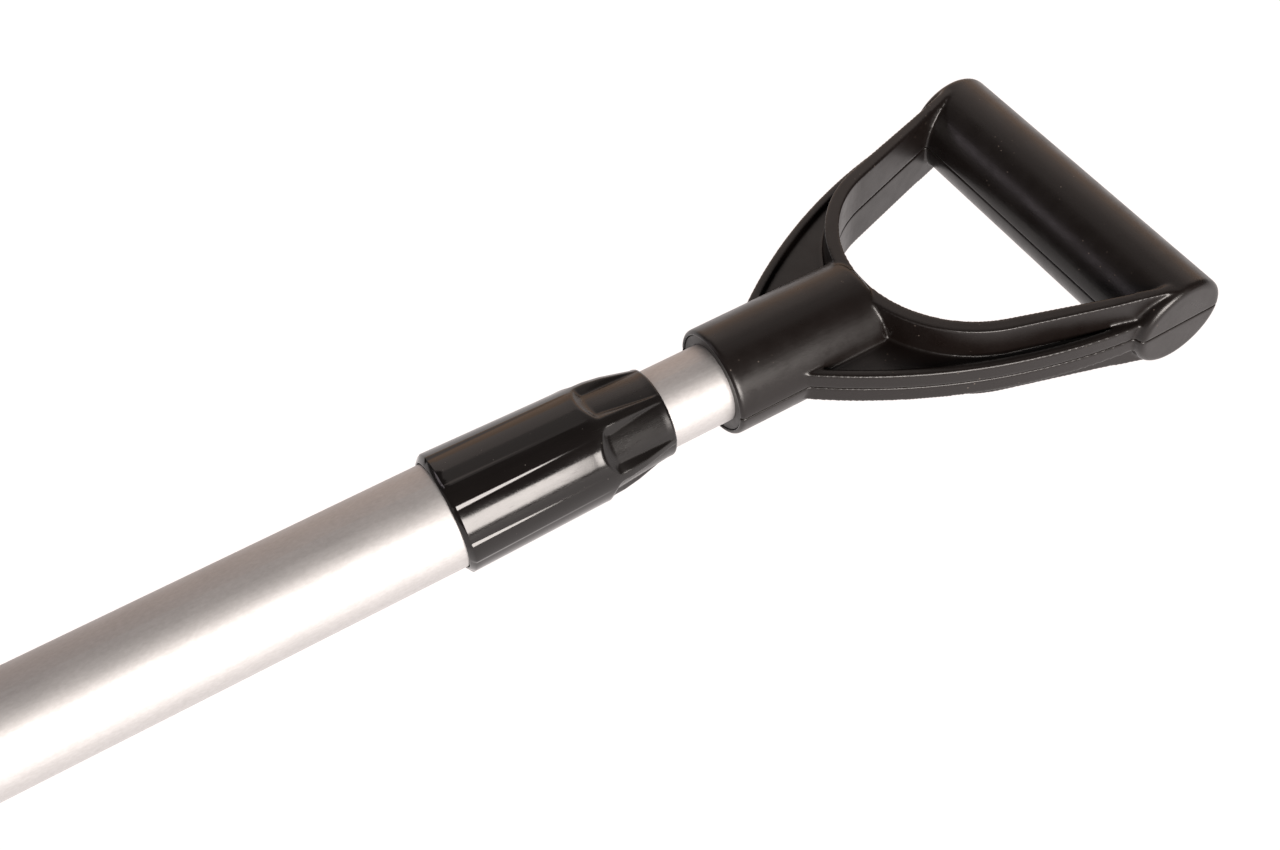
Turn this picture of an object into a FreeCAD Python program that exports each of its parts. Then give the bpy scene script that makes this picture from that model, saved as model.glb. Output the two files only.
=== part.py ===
import FreeCAD, Part
import math
import os
from FreeCAD import Vector

# Telescopic camp shovel: pressed blade, two shaft tubes, twist lock and D-grip.
#
# The shovel lies on its back on the ground, scoop upwards.  +X runs along the shaft from
# the blade to the grip, +Y along the grip bar, +Z up.  The pieces are drawn about the shaft
# axis, with X = 0 at the mouth of the handle, and are moved to the resting frame on export.

# ---------------------------------------------------------------- driving dimensions, mm
CLEAR = 0.1                 # clearance between fixed pieces
RUNNING = 0.08              # radial clearance of sliding and turning fits
PRESS = 0.05                # radial clearance of pressed and riveted fits
BEYOND = 1.0                # how far a cutting shape runs past what it cuts
REACH = 200.0               # half the width of shapes that trim the whole shovel
SHAFT_HEIGHT = 18.2         # shaft axis above the ground, set by the lock collar

INNER_R = 12.5              # thin shaft tube, 25 mm stock
OUTER_R = 16.0              # thick shaft tube, 32 mm stock
TUBE_WALL = 1.2
INNER_BORE = INNER_R - TUBE_WALL
OUTER_BORE = OUTER_R - TUBE_WALL
INNER_TOP = 44.0            # end inside the handle
INNER_BOTTOM = -332.0
OUTER_TOP = -70.0
OUTER_BOTTOM = -466.0

SOCKET_R = 17.15            # handle socket
SOCKET_BORE = 15.6
SOCKET_ROUND = 1.4          # rounding of the mouth
SOCKET_DEPTH = 46.0
SOCKET_END = 53.4
GRIP_X = 132.65             # axis of the grip bar
GRIP_R = 15.65
GRIP_HALF = 57.3
GRIP_ROUND = 2.2
GRIP_HOLLOW_R = 12.4
GRIP_END_WALL = 3.5
LOOP_X = 92.3               # centre of the round end of the hand opening
LOOP_R = 38.0
LOOP_FLANGE = 4.4           # thickness of the flange round the hand opening
LOOP_FLANGE_TIP = 3.0       # its thickness at the grip bar
LOOP_RISE = 22.0            # length over which it rises to the top of the grip bar
LOOP_SLOPE = math.radians(18.5)
LOOP_END = 3.0              # the flange ends this far short of the bar's axis
LOOP_HALF_HEIGHT = 14.5
LOOP_DROP = 0.2             # it meets the grip bar this far below the bar's top
OUTER_FLANGE = 3.0
OUTER_FLANGE_HALF_HEIGHT = 5.75
WEB_HALF_HEIGHT = 3.4
WEB_INSET = 0.5
LEG_START = (20.6, 14.6)    # outside of a leg in plan: on the socket, half way, at the grip
LEG_MIDDLE = (66.1, 41.6)
LEG_END = (130.0, 55.4)

SCREW_SPOTS = [(GRIP_X, -38.0), (GRIP_X, 38.0), (50.0, -25.5), (50.0, 25.5)]
SCREW_R = 1.5               # screws that hold the handle's halves together
SCREW_HEAD_R = 3.0
SCREW_HEAD = 2.0
SCREW_BOSS_R = 4.0
SCREW_GRIP_LEVELS = (-9.0, 7.5)     # seat and tip of the screws in the grip bar
SCREW_SKIN = 0.8            # plastic left over the tip of the other two
SCREW_TIP_ROOM = 0.3
FIXING_X = 22.0             # screw that holds the thin tube in the handle
FIXING_R = 2.0
FIXING_HEAD_R = 3.8
FIXING_HEAD = 1.5
FIXING_TOP = -10.0
FIXING_SEAT = -16.9
CROSS_HALF = 0.4            # half width of the cross in a screw head
CROSS_REACH = 0.65          # its arm, as a share of the head's radius
CROSS_DEPTH = 1.2

BUSH_START = 0.6            # bush between the handle and the thin tube
BUSH_PLAY = 0.25
BUSH_SLOTS = 3
BUSH_SLOT_START = 10.0
BUSH_SLOT_HALF = 1.0
BUSH_SLOT_FIRST = 30        # degrees

COLLAR_BOTTOM = -89.6       # lock collar
COLLAR_RIM = -88.3          # where the chamfer at its lower end stops
COLLAR_TOP = -20.0
COLLAR_END_R = 16.9
COLLAR_R = 18.2             # over the pads at the rim
RIB_R = 18.62               # over the ribs at the rim
COLLAR_WAIST = (-43.0, 17.62)
COLLAR_BEND = (-37.0, 17.4)
COLLAR_CONE = (-31.6, 16.6)
COLLAR_NOSE_R = 14.0
COLLAR_LIP = 0.9
COLLAR_PADS = 6
PAD_FIRST = 36.5            # angle of the first pad from -Y towards +Z, degrees
RIB_EDGE = 20.5             # from a pad's middle to the edge of the rib beside it, degrees
SCOOP_START = -43.9         # finger scoop at the grip end of each pad
SCOOP_FLOOR = -40.3
SCOOP_END = -22.5
SCOOP_R = (15.5, 13.95)     # radius of its floor at the two ends
SCOOP_EDGE = 25.3           # from a scoop's middle to its rim, degrees
SCOOP_FOOT = (17.0, 24.7)   # from its middle to the foot of its side wall at the two ends, degrees
SCOOP_WALL_BEYOND = 2.5
SKIRT_BORE = 16.35
SKIRT_TOP = -66.5
SKIRT_CHAMFER = 0.25
THREAD_TOP = -54.0
THREAD_R = 15.8
CONE_BOTTOM = -50.0
CONE_TOP = -43.5
CONE_R = (14.6, 13.4)
CONE_STEP = 1.0

SLEEVE_BOTTOM = -100.0      # clamp sleeve in the end of the thick tube
SLEEVE_SHOULDER = 3.0
SLEEVE_BORE = INNER_R + 0.15
SLEEVE_TAPER = 0.7
THREAD_CHAMFER = 0.8
COLLAR_BORE = INNER_R + 0.35
RING_BOTTOM = -53.5         # split clamp ring
RING_SLOT = 2.0
RING_GAP = 0.25             # between the ring and the collar's cone
RING_SHORT = 0.6            # the ring ends this far short of the cone
RING_BORE = INNER_R + 0.09
PIN_X = -79.0               # pins that hold the clamp sleeve
PIN_R = 1.5
PIN_INSET = 0.5             # from the sleeve's bore to the tip of a pin

GUIDE_BOTTOM = INNER_BOTTOM + 0.2   # nylon guide bush on the thin tube
GUIDE_LENGTH = 25.0
GUIDE_LAND = 6.0
GUIDE_WAIST = 0.6           # depth of the waist between its two lands
GUIDE_CHAMFER = 0.5
STOP_GAP = 0.3
STOP_LENGTH = 2.0
PLUG_PLAY = 0.5             # radial gap between the thin tube's plug and the thick tube
PLUG_FLANGE = 2.0
INNER_PLUG_DEPTH = 16.0
INNER_PLUG_WALL = 2.0
INNER_PLUG_END = 3.0
OUTER_PLUG_DEPTH = 9.0
OUTER_PLUG_WALL = 2.5

BLADE_REAR = -352.0         # blade: rear wall, flat heel and rising floor
BLADE_TIP = -606.0
HEEL_END = -484.0
BLADE_BEND_R = 430.0        # curve of the floor in side view
SHEET = 1.5
REAR_HALF_WIDTH = 90.0
FRONT_HALF_WIDTH = 109.0
WIDEST_X = -560.0
FRONT_CORNER_R = 48.0
FRONT_MARGIN = 2.0          # room outside the side walls at the front corners
FRONT_BULGE = 16.0
WALL_FLARE = math.tan(math.radians(12.0))
BLADE_WIDENING = (FRONT_HALF_WIDTH - REAR_HALF_WIDTH) / (BLADE_REAR - WIDEST_X)
TUB_DEPTH = 90.0            # the untrimmed scoop
TUB_FRONT = BLADE_TIP - 60.0
FLOOR_FILLET = 20.0
REAR_CORNER_R = 36.0
REAR_HEIGHT = 56.0          # top edge, 30 mm behind the rear wall's foot
REAR_EDGE = 30.0
MIDDLE_HEIGHT = 37.0
MIDDLE_X = -490.0
TIP_HEIGHT = 1.7
BEAD_Y = (-66.0, -33.0, 33.0, 66.0)
BEAD_R = 6.0
BEAD_SINK = 3.6             # depth of the bead's centre below the floor
BEAD_ANGLE = math.radians(8.3)   # place of a bead's middle on the floor's curve
BEAD_BAR = 150.0
ARCH_GAP = 1.0              # round the saddle where it passes through the rear wall
ARCH_OVERLAP = 2.0

SADDLE_TOP = -338.0         # saddle that holds the tube on the blade
SADDLE_BOTTOM = -475.0
SADDLE_WALL = 1.6
SADDLE_BORE = OUTER_R + 0.15
SADDLE_FLANGE = 36.0
SADDLE_CORNER_R = 6.0
RIVET_X = (-384.0, -425.0, -466.0)
RIVET_Y = 27.0
RIVET_R = 2.4
RIVET_HEAD_R = 4.2
RIVET_HEAD = 2.2

BUTTON_X = -444.0           # snap button in the lower end of the thick tube
BUTTON_R = 4.0
BUTTON_TOP = 20.2
BUTTON_FLANGE_R = 5.4
BUTTON_FLANGE_TOP = 13.5
BUTTON_FLANGE = 1.2
BUTTON_ROUND = 1.6
BUTTON_HOLE_R = BUTTON_R + 0.15
SPRING_STRIP = 0.8
SPRING_HALF_WIDTH = 3.0
SPRING_BEND = 24.0          # from the button's axis to where the strip bends
SPRING_END = 5.0            # from the axis to the strip's ends
SPRING_LIFT = 0.7           # between the strip and the tube's wall

GROUND = -SHAFT_HEIGHT
CENTRE_X = (GRIP_X + GRIP_R + BLADE_TIP) / 2
X_AXIS = Vector(1, 0, 0)
Y_AXIS = Vector(0, 1, 0)
Z_AXIS = Vector(0, 0, 1)


# ---------------------------------------------------------------- drawing helpers
def rod(radius, x0, x1):
    """Cylinder on the shaft axis."""
    return Part.makeCylinder(radius, x1 - x0, Vector(x0, 0, 0), X_AXIS)


def sleeve(outer, bore, x0, x1):
    """Tube on the shaft axis."""
    return rod(outer, x0, x1).cut(rod(bore, x0 - BEYOND, x1 + BEYOND))


def post(radius, x, y, z0, z1):
    """Upright cylinder."""
    return Part.makeCylinder(radius, z1 - z0, Vector(x, y, z0), Z_AXIS)


def block(x0, x1, y0, y1, z0, z1):
    return Part.makeBox(x1 - x0, y1 - y0, z1 - z0, Vector(x0, y0, z0))


def chain(points):
    """Straight edges through the points."""
    return [Part.LineSegment(a, b).toShape() for a, b in zip(points, points[1:])]


def arc(a, b, c):
    return Part.Arc(a, b, c).toShape()


def solid_of(edges, direction):
    """Extrude the closed outline that the edges make."""
    outline = Part.Wire(Part.__sortEdges__(edges))
    return Part.Face(outline).extrude(direction)


def lathe(points):
    """Turn a closed outline of (x, radius) points about the shaft axis."""
    corners = [Vector(x, 0, r) for x, r in points]
    outline = Part.makePolygon(corners + corners[:1])
    return Part.Face(outline).revolve(Vector(), X_AXIS, 360)


def plan(x, y, z=0.0):
    return Vector(x, y, z)


# ---------------------------------------------------------------- handle
def loop_side(offset, end_offset):
    """Plan curve of one side of the hand opening's flange, from -Y to +Y."""
    radius = LOOP_R + offset
    tangent_x = LOOP_X - radius * math.sin(LOOP_SLOPE)
    tangent_y = radius * math.cos(LOOP_SLOPE)
    end_y = LOOP_R * math.cos(LOOP_SLOPE) + end_offset / math.cos(LOOP_SLOPE)
    end_x = GRIP_X - LOOP_END
    end_y += (end_x - LOOP_X + LOOP_R * math.sin(LOOP_SLOPE)) * math.tan(LOOP_SLOPE)
    ends = [plan(end_x, -end_y), plan(end_x, end_y)]
    tangents = [plan(tangent_x, -tangent_y), plan(tangent_x, tangent_y)]
    edges = [Part.LineSegment(ends[0], tangents[0]).toShape()]
    edges.append(arc(tangents[0], plan(LOOP_X - radius, 0), tangents[1]))
    edges.append(Part.LineSegment(tangents[1], ends[1]).toShape())
    return edges, ends


def hand_opening(half_height):
    edges, ends = loop_side(0, 0)
    edges.append(Part.LineSegment(ends[1], ends[0]).toShape())
    return solid_of(edges, Vector(0, 0, 2 * half_height)).translate(Vector(0, 0, -half_height))


def loop_flange():
    """Tall flange round the hand opening; it rises a little to meet the grip bar."""
    tall = GRIP_R
    edges, ends = loop_side(LOOP_FLANGE, LOOP_FLANGE_TIP)
    edges.append(Part.LineSegment(ends[1], ends[0]).toShape())
    band = solid_of(edges, Vector(0, 0, 2 * tall)).translate(Vector(0, 0, -tall))
    band = band.cut(hand_opening(tall + BEYOND))
    upper = [
        Vector(LOOP_X - LOOP_R - 2 * LOOP_FLANGE, -REACH, LOOP_HALF_HEIGHT),
        Vector(GRIP_X - LOOP_RISE, -REACH, LOOP_HALF_HEIGHT),
        Vector(GRIP_X, -REACH, GRIP_R - LOOP_DROP),
    ]
    lower = [Vector(p.x, p.y, -p.z) for p in reversed(upper)]
    edges = chain(upper + lower + upper[:1])
    return band.common(solid_of(edges, Vector(0, 2 * REACH, 0)))


def leg_plan(inset, half_height):
    """Plan of both legs filled in, its sides drawn in by inset."""
    sides = []
    for sign in (-1, 1):
        points = [plan(p[0], sign * p[1]) for p in (LEG_START, LEG_MIDDLE, LEG_END)]
        circle = arc(*points).Curve
        centre = circle.Center
        scale = (circle.Radius - inset) / circle.Radius
        sides.append([centre + (p - centre) * scale for p in points])
    edges = [arc(*sides[0]), arc(*sides[1])]
    edges.append(Part.LineSegment(sides[0][0], sides[1][0]).toShape())
    edges.append(Part.LineSegment(sides[0][2], sides[1][2]).toShape())
    height = Vector(0, 0, 2 * half_height)
    return solid_of(edges, height).translate(Vector(0, 0, -half_height))


def handle_form():
    """The whole moulding before it is split, without its hollows."""
    socket = rod(SOCKET_R, 0, SOCKET_END)
    rims = [e for e in socket.Edges if isinstance(e.Curve, Part.Circle)]
    mouth = min(rims, key=lambda e: e.CenterOfMass.x)
    socket = socket.makeFillet(SOCKET_ROUND, [mouth])
    rims = [e for e in socket.Edges if isinstance(e.Curve, Part.Circle)]
    end = max(rims, key=lambda e: e.CenterOfMass.x)
    socket = socket.makeFillet(SOCKET_R - LOOP_HALF_HEIGHT, [end])
    rim_flange = leg_plan(0, OUTER_FLANGE_HALF_HEIGHT)
    rim_flange = rim_flange.cut(leg_plan(OUTER_FLANGE, OUTER_FLANGE_HALF_HEIGHT + BEYOND))
    web = leg_plan(WEB_INSET, WEB_HALF_HEIGHT)
    grip = Part.makeCylinder(GRIP_R, 2 * GRIP_HALF, Vector(GRIP_X, -GRIP_HALF, 0), Y_AXIS)
    ends = [e for e in grip.Edges if isinstance(e.Curve, Part.Circle)]
    grip = grip.makeFillet(GRIP_ROUND, ends)
    frame = socket.multiFuse([rim_flange, web, loop_flange()])
    frame = frame.cut(hand_opening(GRIP_R + BEYOND))
    return frame.fuse(grip).removeSplitter()


def screw_levels(x):
    """Underside of the head, and tip, of a shell screw."""
    if x == GRIP_X:
        return SCREW_GRIP_LEVELS
    return -WEB_HALF_HEIGHT + SCREW_HEAD, WEB_HALF_HEIGHT - SCREW_SKIN


def cross_slot(x, y, head_r, z0, z1):
    """The cross that is cut in a screw head."""
    arm = head_r * CROSS_REACH
    slot = block(x - arm, x + arm, y - CROSS_HALF, y + CROSS_HALF, z0, z1)
    return slot.fuse(block(x - CROSS_HALF, x + CROSS_HALF, y - arm, y + arm, z0, z1))


def shell_screw(x, y):
    seat, tip = screw_levels(x)
    outer = seat - SCREW_HEAD
    head = post(SCREW_HEAD_R, x, y, outer, seat)
    shank = post(SCREW_R, x, y, seat, tip)
    cross = cross_slot(x, y, SCREW_HEAD_R, outer, outer + CROSS_DEPTH)
    return head.fuse(shank).cut(cross).removeSplitter()


def handle_shells():
    form = handle_form()
    inside = GRIP_HALF - GRIP_END_WALL
    hollow = Part.makeCylinder(GRIP_HOLLOW_R, 2 * inside, Vector(GRIP_X, -inside, 0), Y_AXIS)
    for x, y in SCREW_SPOTS[:2]:
        hollow = hollow.cut(post(SCREW_BOSS_R, x, y, -GRIP_R, GRIP_R))
    holes = [rod(SOCKET_BORE, -BEYOND, SOCKET_DEPTH), hollow]
    for x, y in SCREW_SPOTS:
        seat, tip = screw_levels(x)
        holes.append(post(SCREW_R + CLEAR, x, y, seat - BEYOND, tip + SCREW_TIP_ROOM))
        holes.append(post(SCREW_HEAD_R + 2 * CLEAR, x, y, -GRIP_R - BEYOND, seat))
    holes.append(fixing_hole())
    holes.append(Part.makeCone(FIXING_HEAD_R + CLEAR, FIXING_R + CLEAR, FIXING_HEAD,
                               Vector(FIXING_X, 0, FIXING_SEAT), Z_AXIS))
    holes.append(post(FIXING_HEAD_R + CLEAR, FIXING_X, 0, -SOCKET_R - BEYOND, FIXING_SEAT))
    for hole in holes:
        form = form.cut(hole)
    upper = form.common(block(-BEYOND, REACH, -REACH, REACH, 0, REACH))
    lower = form.common(block(-BEYOND, REACH, -REACH, REACH, -REACH, 0))
    return upper.removeSplitter(), lower.removeSplitter()


def fixing_screw():
    head = Part.makeCone(FIXING_HEAD_R, FIXING_R, FIXING_HEAD,
                         Vector(FIXING_X, 0, FIXING_SEAT), Z_AXIS)
    shank = post(FIXING_R, FIXING_X, 0, FIXING_SEAT + FIXING_HEAD, FIXING_TOP)
    cross = cross_slot(FIXING_X, 0, FIXING_HEAD_R, FIXING_SEAT, FIXING_SEAT + CROSS_DEPTH)
    return head.fuse(shank).cut(cross).removeSplitter()


def fixing_hole():
    return post(FIXING_R + CLEAR, FIXING_X, 0, -SOCKET_R - BEYOND, 0)


def adapter_bush():
    bush = sleeve(SOCKET_BORE - BUSH_PLAY, INNER_R + CLEAR, BUSH_START, INNER_TOP)
    for index in range(BUSH_SLOTS):
        slot = block(BUSH_SLOT_START, INNER_TOP + BEYOND, 0, SOCKET_R, -BUSH_SLOT_HALF, BUSH_SLOT_HALF)
        slot.rotate(Vector(), X_AXIS, BUSH_SLOT_FIRST + index * 360 / BUSH_SLOTS)
        bush = bush.cut(slot)
    return bush.cut(fixing_hole())


# ---------------------------------------------------------------- shaft tubes
def inner_tube():
    return sleeve(INNER_R, INNER_BORE, INNER_BOTTOM, INNER_TOP).cut(fixing_hole())


def guide_bush():
    """Nylon bush that turns on the thin tube and slides in the thick one."""
    bottom, top = GUIDE_BOTTOM, GUIDE_BOTTOM + GUIDE_LENGTH
    land = OUTER_BORE - RUNNING
    waist = land - GUIDE_WAIST
    bore = INNER_R + RUNNING
    return lathe([
        (bottom, bore), (bottom, land - GUIDE_CHAMFER), (bottom + GUIDE_CHAMFER, land),
        (bottom + GUIDE_LAND, land), (bottom + GUIDE_LAND + GUIDE_WAIST, waist),
        (top - GUIDE_LAND - GUIDE_WAIST, waist), (top - GUIDE_LAND, land),
        (top - GUIDE_CHAMFER, land), (top, land - GUIDE_CHAMFER), (top, bore),
    ])


def stop_ring():
    bottom = GUIDE_BOTTOM + GUIDE_LENGTH + STOP_GAP
    return sleeve(OUTER_BORE - PLUG_PLAY, INNER_R + PRESS / 2, bottom, bottom + STOP_LENGTH)


def inner_tube_plug():
    """Plug with a flange, open towards the blade, in the lower end of the thin tube."""
    spigot = INNER_BORE - PRESS
    top = INNER_BOTTOM + INNER_PLUG_DEPTH
    plug = rod(OUTER_BORE - PLUG_PLAY, INNER_BOTTOM - PLUG_FLANGE, INNER_BOTTOM)
    plug = plug.fuse(rod(spigot, INNER_BOTTOM, top))
    hollow = rod(spigot - INNER_PLUG_WALL, INNER_BOTTOM - PLUG_FLANGE - BEYOND, top - INNER_PLUG_END)
    return plug.cut(hollow)


def outer_tube():
    tube = sleeve(OUTER_R, OUTER_BORE, OUTER_BOTTOM, OUTER_TOP)
    return tube.cut(pin_hole()).cut(post(BUTTON_HOLE_R, BUTTON_X, 0, 0, OUTER_R + BEYOND))


def outer_tube_plug():
    """End cap of the thick tube, open towards the grip."""
    spigot = OUTER_BORE - PRESS
    top = OUTER_BOTTOM + OUTER_PLUG_DEPTH
    plug = rod(OUTER_R - 2 * CLEAR, OUTER_BOTTOM - PLUG_FLANGE, OUTER_BOTTOM)
    plug = plug.fuse(rod(spigot, OUTER_BOTTOM, top))
    return plug.cut(rod(spigot - OUTER_PLUG_WALL, OUTER_BOTTOM, top + BEYOND))


# ---------------------------------------------------------------- twist lock
def pin_hole():
    """Hole across the shaft for both of the sleeve's pins."""
    half = OUTER_R + BEYOND
    return Part.makeCylinder(PIN_R + PRESS, 2 * half, Vector(PIN_X, -half, 0), Y_AXIS)


def clamp_sleeve():
    """Fixed sleeve: a spigot inside the thick tube, a shoulder on its end and the thread."""
    spigot = OUTER_BORE - PRESS
    shoulder_top = OUTER_TOP + SLEEVE_SHOULDER
    body = lathe([
        (SLEEVE_BOTTOM, SLEEVE_BORE), (SLEEVE_BOTTOM, spigot - SLEEVE_TAPER),
        (SLEEVE_BOTTOM + SLEEVE_TAPER, spigot), (OUTER_TOP, spigot),
        (OUTER_TOP, OUTER_R), (shoulder_top, OUTER_R), (shoulder_top, THREAD_R),
        (THREAD_TOP - THREAD_CHAMFER, THREAD_R), (THREAD_TOP, THREAD_R - THREAD_CHAMFER),
        (THREAD_TOP, SLEEVE_BORE),
    ])
    return body.cut(pin_hole())


def clamp_sleeve_pins():
    """Two flush pins through the thick tube into the sleeve."""
    tip = INNER_R + PIN_INSET
    pin = Part.makeCylinder(PIN_R, OUTER_R - CLEAR - tip, Vector(PIN_X, tip, 0), Y_AXIS)
    return Part.makeCompound([pin, pin.mirror(Vector(), Y_AXIS)])


def clamp_ring():
    """Split ring that the collar's cone squeezes on the thin tube."""
    thick, thin = (radius - RING_GAP for radius in CONE_R)
    top = CONE_TOP - RING_SHORT
    ring = lathe([
        (RING_BOTTOM, RING_BORE), (RING_BOTTOM, thick), (CONE_BOTTOM, thick),
        (top, thin), (top, RING_BORE),
    ])
    half = RING_SLOT / 2
    return ring.cut(block(RING_BOTTOM - BEYOND, CONE_TOP, -half, half, -COLLAR_R, 0))


def collar_outline():
    """Outside of the collar over its ribs, turned about the shaft axis."""
    def at(point):
        return Vector(point[0], 0, point[1])
    nose = at((COLLAR_TOP - COLLAR_LIP, COLLAR_NOSE_R))
    lip = at((COLLAR_TOP, COLLAR_NOSE_R - COLLAR_LIP))
    sag = COLLAR_LIP * (1 - math.sqrt(0.5))
    lip_middle = at((COLLAR_TOP - sag, COLLAR_NOSE_R - sag))
    end = at((COLLAR_BOTTOM, COLLAR_END_R))
    waist = at(COLLAR_WAIST)
    edges = chain([end, at((COLLAR_RIM, RIB_R)), waist])
    edges.append(arc(waist, at(COLLAR_BEND), at(COLLAR_CONE)))
    edges += chain([at(COLLAR_CONE), nose])
    edges.append(arc(nose, lip_middle, lip))
    edges += chain([lip, Vector(COLLAR_TOP, 0, 0), Vector(COLLAR_BOTTOM, 0, 0), end])
    return Part.Face(Part.Wire(Part.__sortEdges__(edges))).revolve(Vector(), X_AXIS, 360)


def pad_recess():
    """What lies over a pad, between two ribs, at the +Z side; the pad runs out at the waist."""
    lean = math.cos(math.radians(RIB_EDGE))
    outside = RIB_R + BEYOND
    low_x = COLLAR_BOTTOM - BEYOND
    waist_x, waist_r = COLLAR_WAIST
    slope = (waist_r - RIB_R) * lean / (waist_x - COLLAR_RIM)
    corners = [(low_x, RIB_R * lean + slope * (low_x - COLLAR_RIM)), (waist_x, waist_r * lean),
               (waist_x, outside), (low_x, outside)]
    points = [Vector(x, -outside / 2, z) for x, z in corners]
    slab = solid_of(chain(points + points[:1]), Vector(0, outside, 0))
    pads = lathe([
        (low_x, 0), (low_x, COLLAR_END_R), (COLLAR_BOTTOM, COLLAR_END_R),
        (COLLAR_RIM, COLLAR_R), COLLAR_WAIST, (waist_x, 0),
    ])
    return slab.cut(pads)


def scoop_section(x, foot, floor_r, rim_r):
    """Outline across a scoop at x: two leaning side walls that run on past the scoop."""
    low, top = math.radians(foot), math.radians(SCOOP_EDGE)
    foot_point = Vector(x, floor_r * math.sin(low), floor_r * math.cos(low))
    rim_point = Vector(x, rim_r * math.sin(top), rim_r * math.cos(top))
    lean = (rim_point - foot_point).normalize()
    inner, outer = foot_point - lean * BEYOND, rim_point + lean * SCOOP_WALL_BEYOND
    corners = [inner, outer, Vector(x, -outer.y, outer.z), Vector(x, -inner.y, inner.z)]
    return Part.makePolygon(corners + corners[:1])


def collar_scoop():
    """Finger scoop at the grip end of a pad, at the +Z side."""
    top = COLLAR_TOP + BEYOND
    outside = RIB_R + BEYOND
    start_r, end_r = SCOOP_R
    floor = lathe([
        (SCOOP_START, COLLAR_WAIST[1]), (SCOOP_FLOOR, start_r), (SCOOP_END, end_r),
        (top, end_r), (top, outside), (SCOOP_START, outside),
    ])
    wedge = Part.makeLoft([
        scoop_section(SCOOP_START, SCOOP_FOOT[0], start_r, COLLAR_WAIST[1]),
        scoop_section(top, SCOOP_FOOT[1], end_r - COLLAR_LIP, COLLAR_NOSE_R - COLLAR_LIP),
    ], True, True)
    return floor.common(wedge)


def lock_collar():
    """The twist collar: ribs between shallow pads outside, skirt, thread and cone inside."""
    body = collar_outline()
    step = 360 / COLLAR_PADS
    recess = pad_recess()
    scoop = collar_scoop()
    for index in range(COLLAR_PADS):
        turn = 90 - PAD_FIRST - step * index          # from the +Z side, about +X
        for cutter in (recess, scoop):
            hollow = cutter.copy()
            hollow.rotate(Vector(), X_AXIS, turn)
            body = body.cut(hollow)
    low, top = COLLAR_BOTTOM - BEYOND, COLLAR_TOP + BEYOND
    thread_bore = THREAD_R + RUNNING
    inside = lathe([
        (low, 0), (low, SKIRT_BORE + SKIRT_CHAMFER), (COLLAR_BOTTOM, SKIRT_BORE + SKIRT_CHAMFER),
        (COLLAR_BOTTOM + SKIRT_CHAMFER, SKIRT_BORE), (SKIRT_TOP, SKIRT_BORE),
        (SKIRT_TOP, thread_bore), (CONE_BOTTOM - CONE_STEP, thread_bore),
        (CONE_BOTTOM, CONE_R[0]), (CONE_TOP, CONE_R[1]), (CONE_TOP, COLLAR_BORE),
        (top, COLLAR_BORE), (top, 0),
    ])
    return body.cut(inside).removeSplitter()


# ---------------------------------------------------------------- blade
def half_width(x):
    """Half width of the scoop at ground level."""
    return REAR_HALF_WIDTH + BLADE_WIDENING * (BLADE_REAR - x)


def scoop_ring(front, spread, z):
    """Corners of the scoop's plan, moved outwards by spread, at one height."""
    rear_x, front_x = BLADE_REAR + spread, front - spread
    grow = spread * math.sqrt(1 + BLADE_WIDENING ** 2)
    rear_y, front_y = half_width(rear_x) + grow, half_width(front_x) + grow
    return [Vector(rear_x, -rear_y, z), Vector(rear_x, rear_y, z),
            Vector(front_x, front_y, z), Vector(front_x, -front_y, z)]


def floor_height(x, inset=0.0):
    """Height of the blade's floor above the ground on its underside."""
    if x > HEEL_END:
        return inset
    radius = BLADE_BEND_R - inset
    return BLADE_BEND_R - math.sqrt(radius ** 2 - (HEEL_END - x) ** 2)


def floor_edge(edge):
    """True for the edges between the walls and the floor, false for the seam across the heel."""
    box = edge.BoundBox
    across = box.YLength > REAR_HALF_WIDTH and abs(edge.CenterOfMass.x - HEEL_END) < 1
    low = box.ZMax < GROUND + TUB_DEPTH * 0.8
    return low and box.XMax > BLADE_TIP + 1 and not across


def tub(inset):
    """Tapered tub with a rounded floor edge: the outside or the inside of the scoop."""
    lower = scoop_ring(TUB_FRONT, -inset, GROUND)
    upper = scoop_ring(TUB_FRONT, TUB_DEPTH * WALL_FLARE - inset, GROUND + TUB_DEPTH)
    outlines = [lower, upper]
    for i in range(4):
        j = (i + 1) % 4
        outlines.append([lower[i], lower[j], upper[j], upper[i]])
    faces = [Part.Face(Part.makePolygon(ring + ring[:1])) for ring in outlines]
    walls = Part.Solid(Part.Shell(faces))
    front = TUB_FRONT - REAR_EDGE
    top = GROUND + 2 * TUB_DEPTH

    def floor_point(x):
        return Vector(x, -REACH, GROUND + floor_height(x, inset))
    edges = [arc(floor_point(HEEL_END), floor_point((HEEL_END + front) / 2), floor_point(front))]
    edges += chain([
        floor_point(front), Vector(front, -REACH, top), Vector(0, -REACH, top),
        floor_point(0), floor_point(HEEL_END),
    ])
    form = walls.common(solid_of(edges, Vector(0, 2 * REACH, 0)))
    uprights = [e for e in form.Edges
                if e.BoundBox.ZLength > TUB_DEPTH / 2 and e.CenterOfMass.x > WIDEST_X]
    form = form.makeFillet(REAR_CORNER_R - inset, uprights)
    bottom = [e for e in form.Edges if floor_edge(e)]
    return form.makeFillet(FLOOR_FILLET - inset, bottom)


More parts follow.
